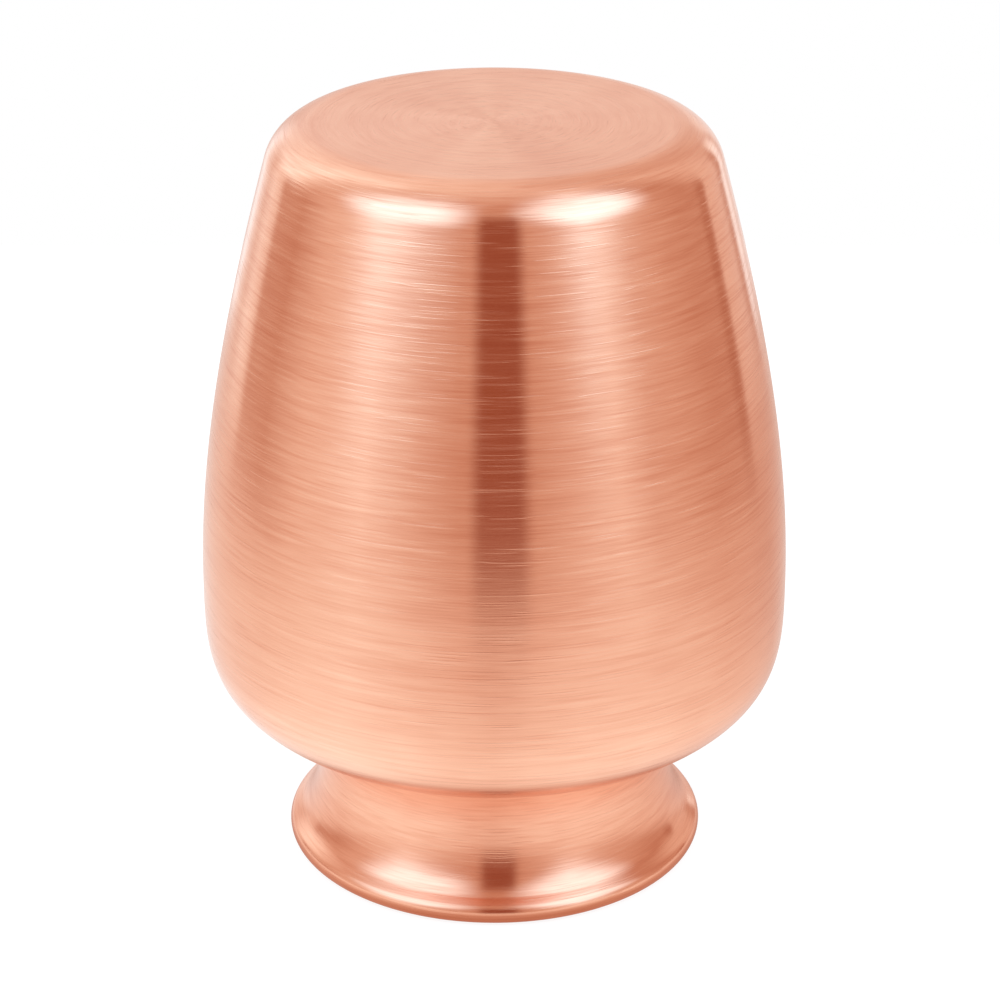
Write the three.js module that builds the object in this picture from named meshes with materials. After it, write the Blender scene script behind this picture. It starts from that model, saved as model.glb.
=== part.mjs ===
import * as THREE from 'three';

// A copper lota, a water vessel spun from sheet, standing mouth down on its rolled lip.
// Lengths are in millimetres and +Z is up. The origin is the centre of the plane that the lip rests on.
// Every piece is turned about the Z axis, so a section is drawn as (radius, height) points.

// The body, with its flat base uppermost
const overall_height = 122.2;
const belly_radius = 47;
const belly_height = 45.9;
const base_corner_radius = 33.7;
const heel_radius = 7.7;
const shoulder_height = 21.9;
const sheet_thickness = 0.9;

// The spigot turned down from the body, the collar that slips over it and the filler between them
const neck_radius = 28.3;
const spigot_length = 5;
const spigot_root_radius = 1;
const joint_clearance = 0.3;
const braze_leg = 1.2;

// The flare of the mouth and the wire that its lip is rolled round
const lip_overhang = 5.8;
const flare_height = 7.75;
const flange_length = 1.2;
const wire_radius = 0.8;
const lip_slit = 0.4;

// How sharply each curve turns: the place of its control corner, and of the handles on the way there
const wall_turn_share = 0.367;
const wall_belly_handle_share = 0.602;
const wall_heel_handle_share = 0.783;
const shoulder_turn_share = 0.792;
const shoulder_belly_handle_share = 0.651;
const shoulder_spigot_handle_share = 1;
const flare_neck_handle_share = 0.78;
const flare_flange_handle_share = 0.44;
const braze_hollow_share = 0.5;

// The metals
const brushed_copper = { color: 0xe4a488, roughness: 0.3, metalness: 1 };
const braze_filler = { color: 0xc98a6a, roughness: 0.5, metalness: 1 };
const drawn_copper = { color: 0xb87b5c, roughness: 0.5, metalness: 1 };

// How finely the turned faces are divided
const turn_segments = 60;
const straight_steps = 1;
const heel_steps = 6;
const wall_steps = 8;
const shoulder_steps = 8;
const root_steps = 2;
const flare_steps = 8;
const lip_steps = 7;
const braze_steps = 4;
const wire_steps = 10;

// Sizes that follow from the ones above
const spigot_radius = neck_radius - sheet_thickness - joint_clearance;
const lip_bore_radius = wire_radius + joint_clearance;
const bead_radius = lip_bore_radius + sheet_thickness;
const rim_radius = neck_radius + lip_overhang;

function at(radius, height) {
  return new THREE.Vector2(radius, height);
}

// A point at a distance from another, in a direction given as an angle above the horizontal
function around(centre, distance, angle) {
  return at(centre.x + distance * Math.cos(angle), centre.y + distance * Math.sin(angle));
}

// A cubic curve whose two handles lie on the lines from its ends to the corner that it rounds
function rounded_corner(start, corner, end, start_handle_share, end_handle_share) {
  const first_handle = start.clone().lerp(corner, start_handle_share);
  const last_handle = end.clone().lerp(corner, end_handle_share);
  return new THREE.CubicBezierCurve(start, first_handle, last_handle, end);
}

// The arc of a fillet in a corner, which touches the lines to the points before and after it
function fillet(before, corner, after, radius) {
  const back = before.clone().sub(corner).normalize();
  const ahead = after.clone().sub(corner).normalize();
  const half_angle = Math.acos(back.dot(ahead)) / 2;
  const middle = back.clone().add(ahead).normalize();
  const centre = corner.clone().addScaledVector(middle, radius / Math.sin(half_angle));
  const tangent_length = radius / Math.tan(half_angle);
  const start = corner.clone().addScaledVector(back, tangent_length).sub(centre).angle();
  const end = corner.clone().addScaledVector(ahead, tangent_length).sub(centre).angle();
  const clockwise = back.cross(ahead) > 0;
  return new THREE.EllipseCurve(centre.x, centre.y, radius, radius, start, end, clockwise);
}

// The outline of a sheet: along the face that shows, then back along the face behind it.
// Each stretch is a curve with its steps. It starts where the last one ended, with the sheet on its right.
function sheet_section(stretches) {
  const front_face = [];
  const back_face = [];
  for (const [curve, steps] of stretches) {
    for (let step = front_face.length ? 1 : 0; step <= steps; step += 1) {
      const point = curve.getPoint(step / steps);
      const along = curve.getTangent(step / steps);
      const to_the_right = at(along.y, -along.x);
      front_face.push(point);
      back_face.push(point.clone().addScaledVector(to_the_right, sheet_thickness));
    }
  }
  return [...front_face, ...back_face.reverse()];
}

// A piece turned about the Z axis. Its section runs clockwise, and a lathe's runs the other way round.
function turned_piece(name, section, metal) {
  const geometry = new THREE.LatheGeometry(section.toReversed(), turn_segments);
  geometry.rotateX(Math.PI / 2);
  const mesh = new THREE.Mesh(geometry, new THREE.MeshStandardMaterial(metal));
  mesh.name = name;
  return mesh;
}

// The joint between shoulder and spigot, which the collar and the filler are also set against
const shoulder_corner_height = belly_height - shoulder_turn_share * (belly_height - shoulder_height);
const shoulder_corner = at(belly_radius, shoulder_corner_height);
const spigot_corner = at(spigot_radius, shoulder_height);
const spigot_end = at(spigot_radius, shoulder_height - spigot_length);
const spigot_root = fillet(shoulder_corner, spigot_corner, spigot_end, spigot_root_radius);

// The middle of the wire, which the lip is rolled round
const lip_centre = at(rim_radius - bead_radius, bead_radius);

// Base, heel, tapering wall, belly, shoulder and the spigot that the collar slips over, in one skin
function body_shell() {
  const base_centre = at(0, overall_height);
  const base_corner = at(base_corner_radius, overall_height);
  const belly = at(belly_radius, belly_height);
  const wall_corner_height = belly_height + wall_turn_share * (overall_height - belly_height);
  const wall_corner = at(belly_radius, wall_corner_height);
  const heel = fillet(base_centre, base_corner, wall_corner, heel_radius);
  const base = new THREE.LineCurve(base_centre, heel.getPoint(0));
  const wall_top = heel.getPoint(1);
  const wall = rounded_corner(
    wall_top, wall_corner, belly, wall_heel_handle_share, wall_belly_handle_share);
  const shoulder_end = spigot_root.getPoint(0);
  const shoulder = rounded_corner(
    belly, shoulder_corner, shoulder_end, shoulder_belly_handle_share, shoulder_spigot_handle_share);
  const spigot = new THREE.LineCurve(spigot_root.getPoint(1), spigot_end);
  const section = sheet_section([
    [base, straight_steps],
    [heel, heel_steps],
    [wall, wall_steps],
    [shoulder, shoulder_steps],
    [spigot_root, root_steps],
    [spigot, straight_steps],
  ]);
  return turned_piece('body_shell', section, brushed_copper);
}

// Neck and flared mouth in a second skin, whose edge is rolled inwards round the wire.
// The flare ends in a short straight flange, which runs smoothly into the roll.
// The edge of the sheet stops a slit short of the back of the flange.
function neck_collar() {
  const flare_corner = at(neck_radius, flare_height);
  const to_corner = flare_corner.clone().sub(lip_centre);
  const roll_start_angle = to_corner.angle() - Math.acos(bead_radius / to_corner.length());
  const edge_turn = Math.acos((lip_bore_radius - lip_slit) / bead_radius);
  const roll_end_angle = roll_start_angle + edge_turn;
  const resting_angle = -Math.PI / 2;
  const roll_arc = (from, to) =>
    new THREE.EllipseCurve(lip_centre.x, lip_centre.y, bead_radius, bead_radius, from, to, true);
  const collar_top = at(neck_radius, spigot_root.getPoint(1).y);
  const roll_start = around(lip_centre, bead_radius, roll_start_angle);
  const up_the_flange = flare_corner.clone().sub(roll_start).normalize();
  const flange_start = roll_start.clone().addScaledVector(up_the_flange, flange_length);
  const flare = rounded_corner(
    collar_top, flare_corner, flange_start, flare_neck_handle_share, flare_flange_handle_share);
  const flange = new THREE.LineCurve(flange_start, roll_start);
  const section = sheet_section([
    [flare, flare_steps],
    [flange, straight_steps],
    [roll_arc(roll_start_angle, resting_angle), lip_steps],
    [roll_arc(resting_angle, roll_end_angle), lip_steps],
  ]);
  section.push(section[0]);
  return turned_piece('neck_collar', section, brushed_copper);
}

// The filler run into the corner between collar and shoulder, with a hollow face
function braze_ring() {
  const slope = shoulder_corner.clone().sub(spigot_corner).normalize();
  const inner_radius = neck_radius + joint_clearance;
  const run = (inner_radius - spigot_radius) / slope.x;
  const below_shoulder = joint_clearance / slope.x;
  const corner = at(inner_radius, shoulder_height + run * slope.y - below_shoulder);
  const shoulder_end = corner.clone().addScaledVector(slope, braze_leg);
  const neck_end = at(inner_radius, corner.y - braze_leg);
  const face_middle = shoulder_end.clone().add(neck_end).divideScalar(2);
  const face_corner = face_middle.lerp(corner, braze_hollow_share);
  const face = new THREE.QuadraticBezierCurve(shoulder_end, face_corner, neck_end);
  const section = [corner, ...face.getPoints(braze_steps), corner];
  return turned_piece('braze_ring', section, braze_filler);
}

// The wire that stiffens the lip, a round one bent to a ring
function rim_wire() {
  const circle = new THREE.EllipseCurve(
    lip_centre.x, lip_centre.y, wire_radius, wire_radius, 0, 2 * Math.PI, true);
  return turned_piece('rim_wire', circle.getPoints(wire_steps), drawn_copper);
}

const lota = new THREE.Group();
lota.name = 'copper_lota';
lota.add(body_shell(), neck_collar(), braze_ring(), rim_wire());

export default lota;
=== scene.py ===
# %% [markdown]
# A copper lota, standing mouth down
#
# A lota is a round water vessel. A metal spinner presses copper sheet over a turning form, first the body,
# then the neck and mouth, and joins the two skins with filler metal. The finish is brushed while the piece
# turns, so every line of the brushing runs round the axis, and that grain shapes all its reflections.
#
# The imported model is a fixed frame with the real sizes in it. This script makes the fine surfaces that stand
# for its solids, then the metals, the floor, the light and the camera. Lengths are in metres, with +Z up.

# %% The frame
import math

import bpy
import numpy as np
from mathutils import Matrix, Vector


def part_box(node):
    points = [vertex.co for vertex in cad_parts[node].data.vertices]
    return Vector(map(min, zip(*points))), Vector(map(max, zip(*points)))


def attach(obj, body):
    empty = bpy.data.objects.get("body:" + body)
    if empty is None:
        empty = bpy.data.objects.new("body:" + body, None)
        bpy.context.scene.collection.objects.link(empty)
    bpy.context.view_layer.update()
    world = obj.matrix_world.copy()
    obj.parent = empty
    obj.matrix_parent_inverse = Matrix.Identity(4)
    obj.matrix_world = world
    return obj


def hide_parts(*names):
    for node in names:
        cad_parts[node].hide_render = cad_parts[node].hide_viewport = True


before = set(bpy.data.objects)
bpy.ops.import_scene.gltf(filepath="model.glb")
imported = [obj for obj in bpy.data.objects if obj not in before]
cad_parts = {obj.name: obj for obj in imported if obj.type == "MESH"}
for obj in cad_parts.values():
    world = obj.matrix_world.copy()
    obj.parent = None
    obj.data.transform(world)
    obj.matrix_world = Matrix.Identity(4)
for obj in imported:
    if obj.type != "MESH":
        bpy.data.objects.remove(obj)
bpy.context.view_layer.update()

mm = 0.001
scene = bpy.context.scene
print("pieces in the frame:", sorted(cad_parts))

# %% [markdown]
# The camera
#
# The photograph looks down on the vessel from close by, so its outline shows strong perspective: the flat
# base on top is drawn as a wide ellipse, and the mouth below as a wider one. A camera could be set by eye,
# but its place, tilt and lens all trade against each other. These were solved together from the outline,
# which is safer. The principal point stays in the middle of the picture, so no lens shift is needed.

# %% Camera
picture_pixels = 1000
focal_pixels = 3197.9
camera_aside = 0.9 * mm
camera_distance = 469.3 * mm
camera_height = 267.1 * mm
camera_tilt_down = math.radians(23.92)

lens = bpy.data.cameras.new("studio camera")
lens.lens = lens.sensor_width * focal_pixels / picture_pixels
camera = bpy.data.objects.new("studio camera", lens)
camera.location = (camera_aside, -camera_distance, camera_height)
camera.rotation_euler = (math.pi / 2 - camera_tilt_down, 0, 0)
scene.collection.objects.link(camera)
scene.camera = camera
print(f"camera: {lens.lens:.1f} mm lens, {camera_distance / mm:.0f} mm in front of the axis")

# %% [markdown]
# Curves in a section
#
# Everything on this vessel is turned, so its whole shape is in one section, drawn as points of radius and
# height. Two kinds of curve are enough: an arc, and a Bezier curve for the swelling stretches, where the
# curvature changes along the way. A Bezier curve with two corners only is a straight line. Each kind is a
# formula that gives all its points at once.

# %% Bezier curves
def bezier(corners, steps):
    """Points of a Bezier curve: the sum of its corners, each times its Bernstein weight at that step."""
    share = np.linspace(0, 1, steps + 1)[:, None]
    order = len(corners) - 1
    weights = [math.comb(order, k) * share**k * (1 - share) ** (order - k) for k in range(order + 1)]
    return sum(weight * np.asarray(corner) for weight, corner in zip(weights, corners))


def rounded_corner(start, corner, end, start_share, end_share, steps):
    """A cubic Bezier curve whose handles lie on the lines from its two ends towards one corner."""
    start, corner, end = np.asarray(start), np.asarray(corner), np.asarray(end)
    handles = [start + start_share * (corner - start), end + end_share * (corner - end)]
    return bezier([start, *handles, end], steps)


# %% Arcs and fillets
def arc(centre, radius, start, end, steps):
    """Points of an arc: centre plus radius times (cos, sin) of angles that run evenly from start to end."""
    angle = np.linspace(start, end, steps + 1)
    return centre + radius * np.stack([np.cos(angle), np.sin(angle)], axis=1)


def unit(vector):
    """A vector, or each row of an array of them, divided by its length."""
    return vector / np.linalg.norm(vector, axis=-1, keepdims=True)


def angle_of(vector):
    """The angle of a vector from the first axis: the arctangent of its second part over its first."""
    return math.atan2(vector[1], vector[0])


def fillet(before, corner, after, radius, steps):
    """The arc that touches both lines at a corner. Its centre is on the bisector, at radius / sin(half angle),
    and it touches each line at radius / tan(half angle) from the corner."""
    before, corner, after = np.asarray(before), np.asarray(corner), np.asarray(after)
    back, ahead = unit(before - corner), unit(after - corner)
    half_angle = math.acos(back @ ahead) / 2
    centre = corner + unit(back + ahead) * radius / math.sin(half_angle)
    reach = radius / math.tan(half_angle)
    start = angle_of(corner + back * reach - centre)
    end = angle_of(corner + ahead * reach - centre)
    turn = (end - start + math.pi) % (2 * math.pi) - math.pi
    return arc(centre, radius, start, start + turn, steps)


# %% [markdown]
# Sheet metal
#
# A spun skin is one sheet, so its inner face is its outer face moved in by the thickness of the sheet. A
# Solidify modifier could do that, but it can't know that a cut edge is rounded by the file. Offsetting the
# section itself is exact: the back face lies one thickness to the right of the way that the face is drawn,
# and a half circle closes the edge.

# %% A sheet's outline from one face
sheet_thickness = 0.9 * mm
edge_steps = 6


def joined(*stretches):
    """Stretches of points one after another, with the point that two of them share kept once."""
    return np.concatenate([stretches[0]] + [stretch[1:] for stretch in stretches[1:]])


def to_the_right(points):
    """Unit vectors square to a curve, on the right of the way that it runs."""
    along = unit(np.gradient(points, axis=0))
    return np.stack([along[:, 1], -along[:, 0]], axis=1)


def sheet_outline(face, round_start):
    """The face, a half circle round its end, the back face on the way home and, if asked, a half circle there.
    That one ends on the face's first point, which is then there twice."""
    right = to_the_right(face)
    back_face = face + sheet_thickness * right
    half = sheet_thickness / 2
    end = angle_of(-right[-1])
    pieces = [face, arc(face[-1] + half * right[-1], half, end, end - math.pi, edge_steps), back_face[::-1]]
    if round_start:
        start = angle_of(right[0])
        pieces.append(arc(face[0] + half * right[0], half, start, start - math.pi, edge_steps))
    return joined(*pieces)


# %% [markdown]
# Turning a section
#
# The Screw or Spin tools would turn an outline too, but a grid worked out one by one gives more: clean poles, no
# doubled points where the turn closes, and two kinds of coordinates that follow the surface. The UV map has the
# angle along u and the way along the section up v. The brushing attribute is the same place as a point on a
# tall cylinder, so a pattern stretched round it has no seam, and on the flat base it turns into rings.
#
# The work is in three steps: the points of the grid, the faces between them, and the mesh that holds both.

# %% Points of a turned grid
steps_around = 288
brushing_radius = 40 * mm
on_axis_radius = 1e-6 * mm


def around_the_axis(radius):
    """The places (r cos a, r sin a) for each radius r, at angles a that run evenly once round the axis."""
    angle = np.arange(steps_around) * 2 * np.pi / steps_around
    turn = np.stack([np.cos(angle), np.sin(angle)], axis=1)
    return radius[:, None, None] * turn


def turned_points(outline, way):
    """A row of points for each point (r, z) of the outline: (r cos a, r sin a, z) at each angle a. With them
    come their places for the brushing, on a cylinder where the way along the outline is the height, and the
    grid of their numbers. A row on the axis is one point."""
    radius, height = outline.T
    points = np.empty((len(outline), steps_around, 3))
    points[..., :2] = around_the_axis(radius)
    points[..., 2] = height[:, None]
    brushing = np.empty_like(points)
    brushing[..., :2] = around_the_axis(np.full_like(radius, brushing_radius))
    brushing[..., 2] = way[:, None]

    on_axis = radius < on_axis_radius
    kept = np.ones(points.shape[:2], bool)
    kept[on_axis, 1:] = False
    columns = np.where(on_axis, 1, steps_around)
    first = np.cumsum(columns) - columns
    ids = first[:, None] + np.where(on_axis[:, None], 0, np.arange(steps_around))
    return points[kept], brushing[kept], ids


# %% Faces of a turned grid
def grid_faces(ids):
    """Quads between neighbouring rows and columns of a grid of point numbers, closed round its columns.
    A row on the axis has one point, so its quads are triangles there."""
    upper, lower = ids[:-1], ids[1:]
    upper_next, lower_next = np.roll(upper, -1, axis=1), np.roll(lower, -1, axis=1)
    return np.stack([upper, lower, lower_next, upper_next], axis=2).reshape(-1, 4)


def turned_faces(ids, way):
    """The quads of the grid, with triangles at the poles, and the UV place of each of their corners: u is the
    share of the turn, and v the share of the way along the outline."""
    quads = grid_faces(ids)
    strips = len(ids) - 1
    column = np.tile(np.arange(steps_around), strips)
    strip = np.repeat(np.arange(strips), steps_around)
    u = np.stack([column, column, column + 1, column + 1], axis=1) / steps_around
    v = np.stack([way[strip], way[strip + 1], way[strip + 1], way[strip]], axis=1) / way[-1]
    corner_uv = np.stack([u, v], axis=2)

    top_pole = quads[:, 0] == quads[:, 3]
    low_pole = quads[:, 1] == quads[:, 2]
    whole = ~(top_pole | low_pole)
    corners = [(whole, [0, 1, 2, 3]), (top_pole, [0, 1, 2]), (low_pole, [0, 1, 3])]
    faces = sum((quads[mask][:, order].tolist() for mask, order in corners), [])
    uv = np.concatenate([corner_uv[mask][:, order].reshape(-1, 2) for mask, order in corners])
    return faces, uv


# %% The turned piece
def turned(name, outline, closed):
    """A surface of revolution from an outline of (radius, height) points, whose last row is joined to its first
    if it is closed. The outline runs clockwise, which makes the faces point outwards."""
    loop = np.concatenate([outline, outline[:1]]) if closed else outline
    way = np.concatenate([[0], np.cumsum(np.linalg.norm(np.diff(loop, axis=0), axis=1))])
    points, brushing, ids = turned_points(outline, way[:len(outline)])
    faces, uv = turned_faces(np.concatenate([ids, ids[:1]]) if closed else ids, way)

    mesh = bpy.data.meshes.new(name)
    mesh.from_pydata(points, [], faces)
    mesh.uv_layers.new(name="UVMap").uv.foreach_set("vector", uv.ravel())
    attribute = mesh.attributes.new("brushing", "FLOAT_VECTOR", "POINT")
    attribute.data.foreach_set("vector", brushing.ravel())
    mesh.shade_smooth()
    mesh.validate()
    piece = bpy.data.objects.new(name, mesh)
    scene.collection.objects.link(piece)
    triangles = len(mesh.loops) - 2 * len(mesh.polygons)
    print(f"{name}: {len(outline)} points in the section, {triangles} triangles")
    return piece


# %% [markdown]
# The body
#
# One skin makes the flat base, the rounded heel, the tapering wall, the belly, the shoulder and a short
# spigot that the neck slips over. The wall is nearly straight at the top and swells into the belly, and the
# shoulder turns in under it at a steady slope. Both are curves towards one corner, pulled there by two
# handles, so a few shares of the drawn lengths hold the whole character of the shape.

# %% Sizes of the body
body_low, body_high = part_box("body_shell")
overall_height = body_high.z
belly_radius = body_high.x
belly_height = 45.9 * mm
base_corner_radius = 33.7 * mm
heel_radius = 7.7 * mm
shoulder_height = 21.9 * mm
spigot_root_radius = 1.0 * mm
neck_radius = 28.3 * mm
joint_clearance = 0.3 * mm
wall_turn_share = 0.367
wall_belly_handle_share = 0.602
wall_heel_handle_share = 0.783
shoulder_turn_share = 0.792
shoulder_belly_handle_share = 0.651
shoulder_spigot_handle_share = 1

base_steps = 16
heel_steps = 36
wall_steps = 56
shoulder_steps = 40
root_steps = 10
spigot_steps = 4

# %% Body
spigot_radius = neck_radius - sheet_thickness - joint_clearance
wall_corner = (belly_radius, belly_height + wall_turn_share * (overall_height - belly_height))
shoulder_corner = (belly_radius, belly_height - shoulder_turn_share * (belly_height - shoulder_height))
spigot_corner = (spigot_radius, shoulder_height)
spigot_end = (spigot_radius, body_low.z + sheet_thickness / 2)

base_centre = (0.0, overall_height)
base_corner = (base_corner_radius, overall_height)
heel = fillet(base_centre, base_corner, wall_corner, heel_radius, heel_steps)
base = bezier([base_centre, heel[0]], base_steps)
belly = (belly_radius, belly_height)
wall = rounded_corner(heel[-1], wall_corner, belly, wall_heel_handle_share, wall_belly_handle_share, wall_steps)
spigot_root = fillet(shoulder_corner, spigot_corner, spigot_end, spigot_root_radius, root_steps)
shoulder = rounded_corner(
    belly, shoulder_corner, spigot_root[0],
    shoulder_belly_handle_share, shoulder_spigot_handle_share, shoulder_steps)
spigot = bezier([spigot_root[-1], spigot_end], spigot_steps)
body_face = joined(base, heel, wall, shoulder, spigot_root, spigot)
body = turned("brushed_body", sheet_outline(body_face, round_start=False), closed=False)

# %% [markdown]
# The neck and mouth
#
# The second skin slips over the spigot, draws in to the neck and flares out to the mouth. Its edge is rolled
# inwards round a wire, which gives the smooth lip that the vessel stands on. The flare ends in a short straight
# flange, which has to run into the roll without a kink, so the roll starts where a line from the corner of the
# flare just touches it.

# %% Neck collar
_, collar_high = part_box("neck_collar")
rim_radius = collar_high.x
flare_height = 7.75 * mm
flange_length = 1.2 * mm
wire_radius = 0.8 * mm
lip_slit = 0.4 * mm
flare_neck_handle_share = 0.78
flare_flange_handle_share = 0.44
flare_steps = 52
flange_steps = 6
roll_steps = 84

lip_bore_radius = wire_radius + joint_clearance
bead_radius = lip_bore_radius + sheet_thickness
lip_centre = np.array([rim_radius - bead_radius, bead_radius])
flare_corner = np.array([neck_radius, flare_height])
to_corner = flare_corner - lip_centre
roll_start = angle_of(to_corner) - math.acos(bead_radius / np.linalg.norm(to_corner))
edge_turn = math.acos((lip_bore_radius - lip_slit) / bead_radius)
roll_end = roll_start + edge_turn - 2 * math.pi

roll = arc(lip_centre, bead_radius, roll_start, roll_end, roll_steps)
collar_top = (neck_radius, collar_high.z - sheet_thickness / 2)
flange_start = roll[0] + flange_length * unit(flare_corner - roll[0])
flare = rounded_corner(
    collar_top, flare_corner, flange_start, flare_neck_handle_share, flare_flange_handle_share, flare_steps)
flange = bezier([flange_start, roll[0]], flange_steps)
collar = turned("brushed_collar", sheet_outline(joined(flare, flange, roll), round_start=True), closed=True)

# %% [markdown]
# Filler and wire
#
# The filler is run into the corner under the shoulder while it is red hot, and it shrinks to a hollow face.
# The wire is hidden in the roll, and stays there as the part that makes the lip stiff. Both are small, but
# a bench would find them, so each is its own turned piece.

# %% Braze ring and rim wire
braze_leg = 1.2 * mm
braze_hollow_share = 0.5
braze_steps = 12
wire_steps = 24

slope = unit(np.subtract(shoulder_corner, spigot_corner))
braze_radius = neck_radius + joint_clearance
braze_rise = (braze_radius - spigot_radius) * slope[1] / slope[0]
braze_corner = np.array([braze_radius, shoulder_height + braze_rise - joint_clearance / slope[0]])
shoulder_foot = braze_corner + braze_leg * slope
neck_foot = braze_corner - np.array([0, braze_leg])
face_middle = (shoulder_foot + neck_foot) / 2
hollow = face_middle + braze_hollow_share * (braze_corner - face_middle)
braze_face = bezier([shoulder_foot, hollow, neck_foot], braze_steps)
braze = turned("filler_ring", np.concatenate([[braze_corner], braze_face]), closed=True)

wire_circle = arc(lip_centre, wire_radius, 0, -2 * math.pi, wire_steps)[:-1]
wire = turned("lip_wire", wire_circle, closed=True)

# %% [markdown]
# Nodes in a line of code
#
# A material is a network, and building one by clicking hides its numbers. One helper adds a node, sets its
# options and fills its inputs, either with a value or with a link from another node's output.

# %% Adding nodes
def new_material(name):
    """A material with an empty network."""
    material = bpy.data.materials.new(name)
    material.use_nodes = True
    material.node_tree.nodes.clear()
    return material


def add_node(tree, kind, inputs=None, **options):
    """A new node of a kind. An input that is given a socket is linked to it, and any other input is set."""
    node = tree.nodes.new("ShaderNode" + kind)
    for option, value in options.items():
        setattr(node, option, value)
    for key, value in (inputs or {}).items():
        if isinstance(value, bpy.types.NodeSocket):
            tree.links.new(value, node.inputs[key])
        else:
            node.inputs[key].default_value = value
    return node


# %% Sums and ranges in nodes
def maths(tree, operation, *values):
    """The result of one operation on one value or two."""
    return add_node(tree, "Math", dict(enumerate(values)), operation=operation).outputs[0]


def weighted_sum(tree, *terms):
    """The sum of values, each times its weight."""
    total = None
    for value, weight in terms:
        term = maths(tree, "MULTIPLY", value, weight)
        total = term if total is None else maths(tree, "ADD", total, term)
    return total


def between(tree, value, low, high, out_low=0.0, out_high=1.0, interpolation="SMOOTHSTEP"):
    """A value that goes from out_low to out_high while another goes from low to high, and stays there beyond."""
    inputs = {0: value, 1: low, 2: high, 3: out_low, 4: out_high}
    return add_node(tree, "MapRange", inputs, interpolation_type=interpolation).outputs[0]


# %% Colours in nodes
def grey(value):
    """The colour whose red, green and blue are one value."""
    return (value, value, value)


def mix_colours(tree, share, first, second, blend="MIX"):
    """The first colour with a share of the second mixed in, or laid over it in another way."""
    inputs = {0: share, 6: first, 7: second}
    return add_node(tree, "Mix", inputs, data_type="RGBA", blend_type=blend).outputs[2]


def ramp(tree, value, stops):
    """A colour ramp through (place, colour) stops, from 0 to 1."""
    node = add_node(tree, "ValToRGB", {0: value})
    elements = node.color_ramp.elements
    while len(elements) < len(stops):
        elements.new(0.5)
    for element, (place, colour) in zip(elements, stops):
        element.position = place
        element.color = (*colour, 1)
    return node.outputs[0]


# %% [markdown]
# Brushed copper
#
# Brushing leaves thousands of fine grooves round the axis. Each scatters light across itself, up and down
# the vessel, and hardly at all round it. So a lamp's reflection keeps its left and right edges and smears
# along the height, which is the long dark streak and the tall soft highlights of the real one. The shader
# has that built in: the anisotropy, turned a quarter so that the smear is square to the UV map's u.
#
# The grooves that the eye can still tell apart are noise on the brushing attribute, stretched about thirty times
# along the turn. They do two things. They tilt the surface a little, which shows where the room is bright above
# and dark below. And their torn edges throw light about, which shows where bright and dark lie side by side:
# a second, much rougher metal is mixed in along them.

# %% Lines of the brushing
# Length round the axis, width across it and detail of each kind of line, and a seed that keeps it apart
fine_lines = (8 * mm, 0.24 * mm, 1.0, 0)
coarse_lines = (16 * mm, 0.7 * mm, 2.0, 7)
wide_bands = (60 * mm, 2.5 * mm, 2.0, 13)
rare_scratches = (9 * mm, 0.25 * mm, 0.0, 29)
# The rays of a painted sheen on the flat base
rays_of_the_painted_sheen = (22 * mm, 1000 * mm, 1.0, 41)
scratch_threshold = (0.66, 0.78)
patch_noise = {"Scale": 45.0, "Detail": 3.0, "Roughness": 0.55}
line_roughness = 0.6


def streaks(tree, place, seed, length, width, detail, own_seed):
    """Noise whose cells are long round the axis and narrow across it. Returns its value, about 0.5. The two
    seeds shift it along the axis."""
    shift = (0.0, 0.0, seed + own_seed)
    scale = (1 / length, 1 / length, 1 / width)
    stretched = add_node(tree, "Mapping", {"Vector": place, "Location": shift, "Scale": scale}).outputs[0]
    inputs = {"Vector": stretched, "Scale": 1.0, "Detail": detail, "Roughness": line_roughness}
    return add_node(tree, "TexNoise", inputs).outputs[0]


def around_half(tree, value, strength):
    """A value near a half whose swing about the half is multiplied: 0.5 + strength * (value - 0.5)."""
    swing = maths(tree, "SUBTRACT", value, 0.5)
    return maths(tree, "ADD", 0.5, maths(tree, "MULTIPLY", strength, swing))


# %% [markdown]
# What the brushing does to the metal
#
# The grain is fainter below the belly and on the flat base, so its strength is a ramp up the vessel. On the base
# a faint fan of lighter and darker rays round the middle is painted in: a painted sheen where the strokes would
# catch the light. All of this adds up to one tone, which runs the copper from a darker and rougher state to a
# lighter and smoother one.
#
# The collar has been handled more than the body, and its copper is a little deeper. Close under the shoulder,
# where shade falls, its colour is painted darker and browner: painted shade.

# %% Pattern of the brushing
fine_weight = 0.45
coarse_weight = 0.55
band_weight = 0.2
patch_weight = 0.3
painted_sheen_weight = 0.35
base_edge = (121.5 * mm, 122.1 * mm)


def brushing_pattern(tree, on_object, level, strength, seed):
    """The grain, the scratches and the tone. The grain is the lines, and its swing is the strength at that level,
    given as (share of the vessel's height, strength) stops. The tone is the sum of grain, bands, patches and a
    painted sheen of rays on the flat base, each times its weight."""
    place = add_node(tree, "Attribute", attribute_name="brushing").outputs["Vector"]
    fine = streaks(tree, place, seed, *fine_lines)
    coarse = streaks(tree, place, seed, *coarse_lines)
    bands = streaks(tree, place, seed, *wide_bands)
    rare = streaks(tree, place, seed, *rare_scratches)
    rays = streaks(tree, place, seed, *rays_of_the_painted_sheen)
    patches = add_node(tree, "TexNoise", {"Vector": on_object} | patch_noise).outputs[0]

    height_share = maths(tree, "DIVIDE", level, overall_height)
    strength_here = ramp(tree, height_share, [(at, grey(share)) for at, share in strength])
    lines = weighted_sum(tree, (fine, fine_weight), (coarse, coarse_weight))
    grain = around_half(tree, lines, strength_here)
    scratches = between(tree, rare, *scratch_threshold)
    on_base = between(tree, level, *base_edge)
    # Painted sheen: a fan of lighter and darker rays laid into the tone on the flat base
    painted_sheen = maths(tree, "MULTIPLY", maths(tree, "SUBTRACT", rays, 0.5), on_base)
    tone = weighted_sum(
        tree, (grain, 1.0), (bands, band_weight), (patches, patch_weight), (painted_sheen, painted_sheen_weight))
    return grain, scratches, tone


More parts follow.
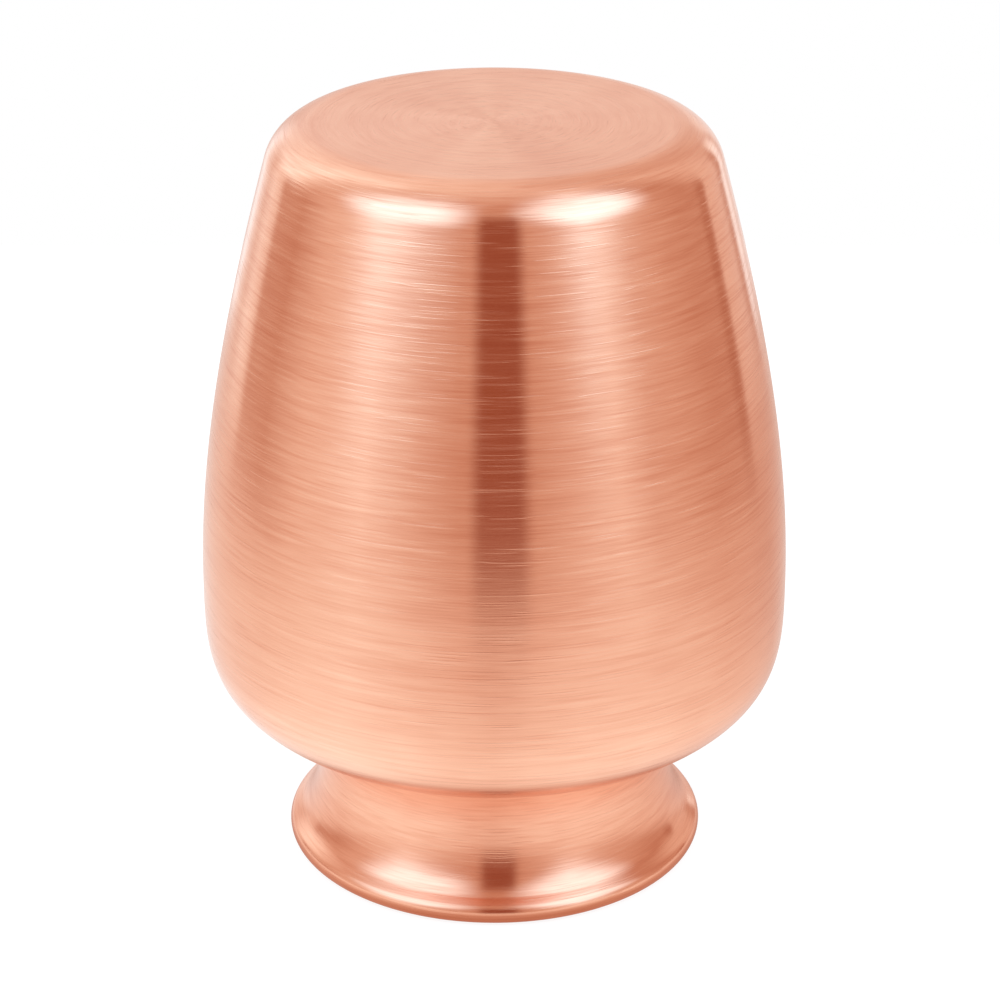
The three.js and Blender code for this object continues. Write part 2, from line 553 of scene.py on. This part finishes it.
# %% Copper material
darker_tint = (0.9, 0.81, 0.77)
lighter_tint = (1.07, 1.19, 1.23)
# Painted shade: the collar's colour close under the shoulder is multiplied by this darker, browner tint
painted_shade_tint = (0.95, 0.75, 0.67)
tone_range = (0.55, 0.95)
scratch_height = 0.5
torn_metal = {"Roughness": 0.42, "Anisotropic": 0.7}
torn_grain = (0.5, 0.68)
torn_scratch_share = 0.12
quarter_turn = 0.25


def tinted(colour, tint):
    """A colour with each channel times the tint's, and no more than 1."""
    return tuple(min(channel * share, 1) for channel, share in zip(colour, tint))


def brushed_copper(
        name, copper, roughness, anisotropy, groove_depth, torn_share, seed, strength, painted_shade=None):
    """A smooth copper with a torn one mixed in along the lines and scratches. With the tone the colour goes from
    darker to lighter, and the roughness from its second value to its first. The painted shade, a darker and browner
    colour where shade falls, is given as the two heights between which it sets in."""
    material = new_material(name)
    tree = material.node_tree
    on_object = add_node(tree, "TexCoord").outputs["Object"]
    level = add_node(tree, "SeparateXYZ", {0: on_object}).outputs[2]
    grain, scratches, tone = brushing_pattern(tree, on_object, level, strength, seed)

    shade = between(tree, tone, *tone_range, interpolation="LINEAR")
    colour = mix_colours(tree, shade, (*tinted(copper, darker_tint), 1), (*tinted(copper, lighter_tint), 1))
    # Painted shade close under the shoulder, setting in between the two heights
    if painted_shade:
        under_shoulder_shade = between(tree, level, *painted_shade)
        colour = mix_colours(tree, under_shoulder_shade, colour, (*painted_shade_tint, 1), "MULTIPLY")
    smoothest, roughest = roughness
    rough = between(tree, tone, *tone_range, roughest, smoothest, interpolation="LINEAR")
    height = weighted_sum(tree, (grain, 1.0), (scratches, scratch_height))
    bump = add_node(tree, "Bump", {"Strength": 1.0, "Distance": groove_depth, "Height": height}).outputs[0]
    tangent = add_node(tree, "Tangent", direction_type="UV_MAP", uv_map="UVMap").outputs[0]

    smooth_metal = {
        "Base Color": colour,
        "Metallic": 1.0,
        "Roughness": rough,
        "Anisotropic": anisotropy,
        "Anisotropic Rotation": quarter_turn,
        "Normal": bump,
        "Tangent": tangent,
    }
    smooth = add_node(tree, "BsdfPrincipled", smooth_metal).outputs[0]
    torn = add_node(tree, "BsdfPrincipled", smooth_metal | torn_metal).outputs[0]
    torn_lines = between(tree, grain, *torn_grain, 0.0, torn_share)
    torn_here = maths(tree, "ADD", torn_lines, maths(tree, "MULTIPLY", scratches, torn_scratch_share))
    shader = add_node(tree, "MixShader", {0: torn_here, 1: smooth, 2: torn}).outputs[0]
    add_node(tree, "OutputMaterial", {"Surface": shader})
    return material


# %% The two coppers
copper_colour = (0.93, 0.456, 0.302)
worn_in_colour = (0.87, 0.388, 0.246)

body_copper = brushed_copper(
    "brushed body copper", copper_colour, roughness=(0.135, 0.17), anisotropy=1.0, groove_depth=0.021 * mm,
    torn_share=0.17, seed=0, strength=[(0, 0.6), (0.35, 0.62), (0.52, 0.85), (0.6, 1), (0.985, 1), (1, 0.6)])
# The collar gets painted shade close under the shoulder, from 13.5 mm to 20 mm up
collar_copper = brushed_copper(
    "brushed collar copper", worn_in_colour, roughness=(0.15, 0.18), anisotropy=0.87, groove_depth=0.012 * mm,
    torn_share=0.1, seed=50, strength=[(0, 0.75), (1, 0.75)], painted_shade=(13.5 * mm, 20 * mm))
body.data.materials.append(body_copper)
collar.data.materials.append(collar_copper)
print("copper:", body_copper.name, "and", collar_copper.name)

# %% [markdown]
# Filler and drawn wire
#
# Filler metal is duller and browner than the sheet, with small pits where the flux sat. Drawn wire is duller
# too, under a brown film. Both need only a few nodes.

# %% Dull metal
pit_noise = {"Detail": 6.0, "Roughness": 0.6}
pit_range = (0.3, 0.7)


def dull_metal(name, dark, light, roughness, grain_scale, pit_depth):
    """A metal whose colour and roughness both run from their first value to their second with one noise, which
    is also the height of its pits."""
    material = new_material(name)
    tree = material.node_tree
    place = add_node(tree, "TexCoord").outputs["Object"]
    noise = add_node(tree, "TexNoise", {"Vector": place, "Scale": grain_scale} | pit_noise).outputs[0]
    colour = mix_colours(tree, noise, (*dark, 1), (*light, 1))
    rough = between(tree, noise, *pit_range, *roughness)
    bump = add_node(tree, "Bump", {"Distance": pit_depth, "Height": noise}).outputs[0]
    shader_inputs = {"Base Color": colour, "Metallic": 1.0, "Roughness": rough, "Normal": bump}
    shader = add_node(tree, "BsdfPrincipled", shader_inputs).outputs[0]
    add_node(tree, "OutputMaterial", {"Surface": shader})
    return material


# %% Filler and wire materials
filler_metal = dull_metal(
    "filler metal", dark=(0.52, 0.22, 0.12), light=(0.72, 0.35, 0.2), roughness=(0.4, 0.6),
    grain_scale=900.0, pit_depth=0.04 * mm)
wire_metal = dull_metal(
    "drawn copper wire", dark=(0.4, 0.17, 0.09), light=(0.6, 0.28, 0.17), roughness=(0.35, 0.5),
    grain_scale=1500.0, pit_depth=0.01 * mm)
braze.data.materials.append(filler_metal)
wire.data.materials.append(wire_metal)
print("dull metals:", filler_metal.name, "and", wire_metal.name)

# %% [markdown]
# The floor
#
# A polished thing is a picture of its room, and the belly's lower half is a picture of the floor. The floor is
# a sheet of white plastic lit from below, as photographers use to keep shadows off a white ground. So it is
# drawn as a glow with a little plain white over it, which takes the soft shadow of the foot. Its glow as the
# metal mirrors it is uneven: it is brighter in front, where the two lamps stand over its corners, and dimmer
# close to the foot, which keeps the light off it, and far out. It ends outside the picture.

# %% Floor
floor_half_width = 290 * mm
floor_tone = 0.86
floor_white = 0.2

floor_mesh = bpy.data.meshes.new("floor")
floor_corners = [(floor_half_width * x, floor_half_width * y, 0) for x, y in ((-1, -1), (1, -1), (1, 1), (-1, 1))]
floor_mesh.from_pydata(floor_corners, [], [(0, 1, 2, 3)])
floor = bpy.data.objects.new("floor", floor_mesh)
scene.collection.objects.link(floor)
print(f"floor: {2 * floor_half_width / mm:.0f} mm square")


# %% Brightness by azimuth
def azimuth_share(tree, vector):
    """The azimuth of a vector from 0 to 1: half is the side of the camera, and it grows to the right."""
    parts = add_node(tree, "SeparateXYZ", {0: vector}).outputs
    azimuth = maths(tree, "ARCTAN2", parts[0], maths(tree, "MULTIPLY", parts[1], -1.0))
    return between(tree, azimuth, -math.pi, math.pi, interpolation="LINEAR")


def cloth(brightness):
    """The colour of white cloth by how bright it is: green is the brightness itself, and as it gets dimmer
    red falls off slower and blue faster."""
    return (brightness**0.52, brightness, brightness**1.23)


def azimuth_stops(table):
    """Ramp stops in the colour of cloth from (azimuth in degrees, brightness) pairs."""
    return [((degrees + 180) / 360, cloth(brightness)) for degrees, brightness in table]


# %% Floor material
# Brightness by azimuth in degrees, and its share by distance from the axis in millimetres
floor_glow = [
    (-180, 1.0), (-120, 1.05), (-90, 1.12), (-50, 1.34), (-28, 1.24), (-10, 1.05), (0, 1.0), (10, 1.06), (28, 1.17),
    (50, 1.2), (90, 0.9), (120, 0.7), (150, 0.8), (180, 1.0),
]
floor_fade = [
    (0, 0.3), (34.5, 0.35), (38, 0.55), (43, 0.88), (50, 1.03), (60, 1.1), (80, 1.05), (110, 0.97), (150, 0.86),
    (250, 0.73), (300, 0.73),
]
fade_reach = 300

board = new_material("white board")
tree = board.node_tree
floor_place = add_node(tree, "TexCoord").outputs["Object"]
around_glow = ramp(tree, azimuth_share(tree, floor_place), azimuth_stops(floor_glow))
from_axis = add_node(tree, "VectorMath", {0: floor_place}, operation="LENGTH").outputs["Value"]
outward_share = maths(tree, "DIVIDE", from_axis, fade_reach * mm)
outward_fade = ramp(tree, outward_share, [(distance / fade_reach, cloth(fade)) for distance, fade in floor_fade])
mirrored_glow = mix_colours(tree, 1.0, around_glow, outward_fade, "MULTIPLY")
mirrored = add_node(tree, "Emission", {"Color": mirrored_glow, "Strength": 1.0}).outputs[0]
glowing = add_node(tree, "Emission", {"Color": (*grey(floor_tone), 1), "Strength": 1.0}).outputs[0]
white = add_node(tree, "BsdfDiffuse", {"Color": (*grey(floor_white), 1)}).outputs[0]
both = add_node(tree, "AddShader", {0: glowing, 1: white}).outputs[0]
camera_ray = add_node(tree, "LightPath").outputs["Is Camera Ray"]
floor_seen = add_node(tree, "MixShader", {0: camera_ray, 1: mirrored, 2: both}).outputs[0]
add_node(tree, "OutputMaterial", {"Surface": floor_seen})
floor_mesh.materials.append(board)
print("floor material:", board.name)

# %% [markdown]
# The light tent
#
# Product photographs of bright metal are taken inside a tent of white cloth, with a soft lamp on either side
# and a gap in front for the lens. Lamps and cloth could be built, but metal mirrors all of it, so the tent is
# one picture round the scene: its brightness by direction. It is a ramp round the horizon for the low part,
# one for the high part and a soft shade overhead. The lamps and the gap are laid over it. Dim cloth is warmer
# than bright cloth. The copper takes most of the blue out of what it mirrors, so the lamps lean to blue, which
# leaves their reflections white.

# %% Brightness of the cloth
# Brightness by azimuth in degrees, where 0 is the side of the camera and the right is positive
low_tent = [
    (-180, 0.9), (-168, 0.7), (-158, 1.35), (-150, 1.0), (-142, 0.8), (-134, 1.1), (-127, 0.95), (-122.5, 0.5),
    (-104, 0.45), (-84, 0.8), (-70, 0.95), (-52, 1.1), (-30, 0.66), (-14, 0.48), (14, 0.47), (30, 0.67), (50, 0.97),
    (65, 0.66), (80, 0.6), (98, 0.47), (114, 0.42), (118, 0.3), (122, 0.3), (125, 0.75), (139, 0.75), (144, 0.45),
    (147, 0.45), (150, 1.3), (154, 1.2), (158, 0.7), (163, 0.95), (180, 0.9),
]
high_tent = [
    (-180, 0.88), (-170, 1.0), (-150, 1.15), (-140, 1.4), (-130, 1.6), (-122, 1.45), (-114, 0.95), (-105, 0.68),
    (-92, 0.8), (-70, 0.75), (-30, 0.6), (0, 0.5), (30, 0.6), (70, 0.65), (85, 0.6), (98, 0.48), (108, 0.42),
    (116, 0.56), (124, 0.74), (135, 0.78), (146, 0.62), (158, 0.6), (170, 0.7), (180, 0.88),
]
overhead_front = 0.6
overhead_back = 0.95

# Elevations in degrees, and for the roof the part of the direction that points away from the camera
high_part_starts = (6, 17)
roof_starts = (58, 70)
roof_turns_back = (-0.3, 0.4)
print("tent:", len(low_tent), "low stops and", len(high_tent), "high stops")

# %% Cloth of the tent
world = bpy.data.worlds.new("light tent")
world.use_nodes = True
scene.world = world
tent = world.node_tree
tent.nodes.clear()
direction = add_node(tent, "TexCoord").outputs["Generated"]
parts = add_node(tent, "SeparateXYZ", {0: direction}).outputs
azimuth = azimuth_share(tent, direction)
elevation = maths(tent, "ARCSINE", parts[2])


def between_elevations(start, end):
    """How far the elevation is on the way from one angle to another, both in degrees."""
    return between(tent, elevation, math.radians(start), math.radians(end))


low_part = ramp(tent, azimuth, azimuth_stops(low_tent))
high_part = ramp(tent, azimuth, azimuth_stops(high_tent))
sides = mix_colours(tent, between_elevations(*high_part_starts), low_part, high_part)
backwards = between(tent, parts[1], *roof_turns_back)
roof = mix_colours(tent, backwards, (*cloth(overhead_front), 1), (*cloth(overhead_back), 1))
seen = mix_colours(tent, between_elevations(*roof_starts), sides, roof)
print("cloth:", len(tent.nodes), "nodes")

# %% A soft lamp
lamp_power = 1.45
lamp_edge = (1.5, 0.35)
least_depth = 0.01


def lamp_axes(azimuth, elevation, lean):
    """Unit vectors across a lamp, along it and towards it, from its angles in degrees. The first two are square
    to the third and are turned round it by the lean."""
    a, e, t = math.radians(azimuth), math.radians(elevation), math.radians(lean)
    ahead = np.array([math.sin(a) * math.cos(e), -math.cos(a) * math.cos(e), math.sin(e)])
    aside = np.array([math.cos(a), math.sin(a), 0])
    up = np.cross(aside, ahead)
    return math.cos(t) * aside - math.sin(t) * up, math.sin(t) * aside + math.cos(t) * up, ahead


def soft_lamp(azimuth, elevation, half_length, half_width, lean):
    """How much of a soft lamp is seen, from 1 inside it to 0 outside. The direction is laid out on a plane square
    to the lamp's own direction. The lamp is where |x|^p + |y|^p is under 1 there, which is an ellipse for a power
    p of 2 and draws its ends out to soft points for a smaller one. Its light sets in softly about that edge. The
    depth is kept above a small value, so nothing is divided by zero behind the lamp."""
    across, along, depth = (
        add_node(tent, "VectorMath", {0: direction, 1: tuple(axis)}, operation="DOT_PRODUCT").outputs["Value"]
        for axis in lamp_axes(azimuth, elevation, lean))
    depth = maths(tent, "MAXIMUM", depth, least_depth)
    across = maths(tent, "DIVIDE", across, maths(tent, "MULTIPLY", depth, half_width))
    along = maths(tent, "DIVIDE", along, maths(tent, "MULTIPLY", depth, half_length))
    powers = [maths(tent, "POWER", maths(tent, "ABSOLUTE", offset), lamp_power) for offset in (across, along)]
    far = maths(tent, "POWER", maths(tent, "ADD", *powers), 1 / lamp_power)
    return between(tent, far, *lamp_edge)


# %% Lamps
# Azimuth and elevation in degrees, half the length and half the width as tangents, and the lean in degrees
lamps = [(-51, 36.9, 0.57, 0.53, -14), (54, 41.9, 0.63, 0.48, -21)]
lamp_colour = (1.5, 2.3, 3.0)

for lamp in lamps:
    seen = mix_colours(tent, soft_lamp(*lamp), seen, (*lamp_colour, 1))
print("lamps:", len(lamps))

# %% Gap for the lens
gap_brightness = 0.13
gap_middle = 2.5
gap_side = (14, 6.5)
gap_top = (47, 34)

off_centre = maths(tent, "ABSOLUTE", maths(tent, "SUBTRACT", azimuth, 0.5 + gap_middle / 360))
gap_across = between(tent, off_centre, *(degrees / 360 for degrees in gap_side))
gap = maths(tent, "MULTIPLY", gap_across, between_elevations(*gap_top))
seen = mix_colours(tent, gap, seen, (*cloth(gap_brightness), 1))
print(f"gap: {2 * gap_side[1]:.0f} degrees wide, and {2 * gap_side[0]:.0f} with its soft edges")

# %% [markdown]
# What each kind of ray meets
#
# Only mirrored rays should meet the picture of the tent. Rays from plain surfaces meet an even light, so the
# floor stays even too, and the camera sees plain white behind the floor.

# %% World
room_light = 1.4
backdrop = 1.0

ray = add_node(tent, "LightPath").outputs
lit = mix_colours(tent, ray["Is Diffuse Ray"], seen, (*grey(room_light), 1))
shown = mix_colours(tent, ray["Is Camera Ray"], lit, (*grey(backdrop), 1))
background = add_node(tent, "Background", {"Color": shown, "Strength": 1.0}).outputs[0]
add_node(tent, "OutputWorld", {"Surface": background})

scene.view_settings.view_transform = "Standard"
print("world:", world.name)

# %% [markdown]
# Back to the frame
#
# Each fine piece now takes the place of the solid it was made over, and rides with the one body there is.

# %% Pieces on the frame
for piece, node, slot in (
    (body, "body_shell", "body_copper"),
    (collar, "neck_collar", "collar_copper"),
    (braze, "braze_ring", "braze_filler"),
    (wire, "rim_wire", "wire_copper"),
):
    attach(piece, "root")
    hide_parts(node)
